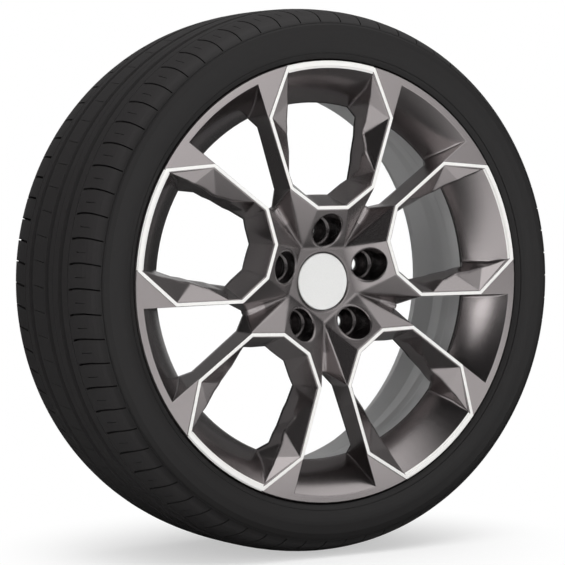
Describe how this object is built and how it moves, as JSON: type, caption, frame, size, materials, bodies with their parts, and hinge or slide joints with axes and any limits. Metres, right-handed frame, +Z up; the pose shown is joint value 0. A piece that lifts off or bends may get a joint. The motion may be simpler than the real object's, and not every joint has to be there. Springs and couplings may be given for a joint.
{
  "type": "wheel and tyre assembly",
  "caption": "Cast alloy car wheel with paired spoke arms, large windows with bright machined edges, small centre cap and a low-profile road tyre.",
  "frame": {"origin": "centre of the wheel, on the spin axis and in the middle between the rim's flanges", "axes": "Y is the spin axis, the styled face looks towards -Y, the mounting face towards +Y, and +Z is up"},
  "size_m": [0.64, 0.225, 0.6395],
  "materials": {
    "alloy_wheel": "anthracite metallic paint with bright machined lines",
    "tyre": "matt",
    "centre_cap": "satin silver",
    "cap_spring_ring": "plain",
    "valve_stem": "matt",
    "valve_core": "plain",
    "valve_pin": "plain",
    "valve_cap": "matt"
  },
  "bodies": {
    "wheel": {"alloy_wheel": "alloy_wheel", "tyre": "tyre", "centre_cap": "centre_cap", "cap_spring_ring": "cap_spring_ring", "valve_stem": "valve_stem", "valve_core": "valve_core", "valve_cap": "valve_cap"},
    "pin": {"valve_pin": "valve_pin"}
  },
  "joints": [
    {"name": "valve_pin_slide", "type": "slide", "parent": "wheel", "child": "pin", "axis": [-0.9901, 0.1392, -0.0173], "range_m": [0, 0.0012], "stiffness_N_per_m": 1000, "springref_m": -0.001}
  ]
}
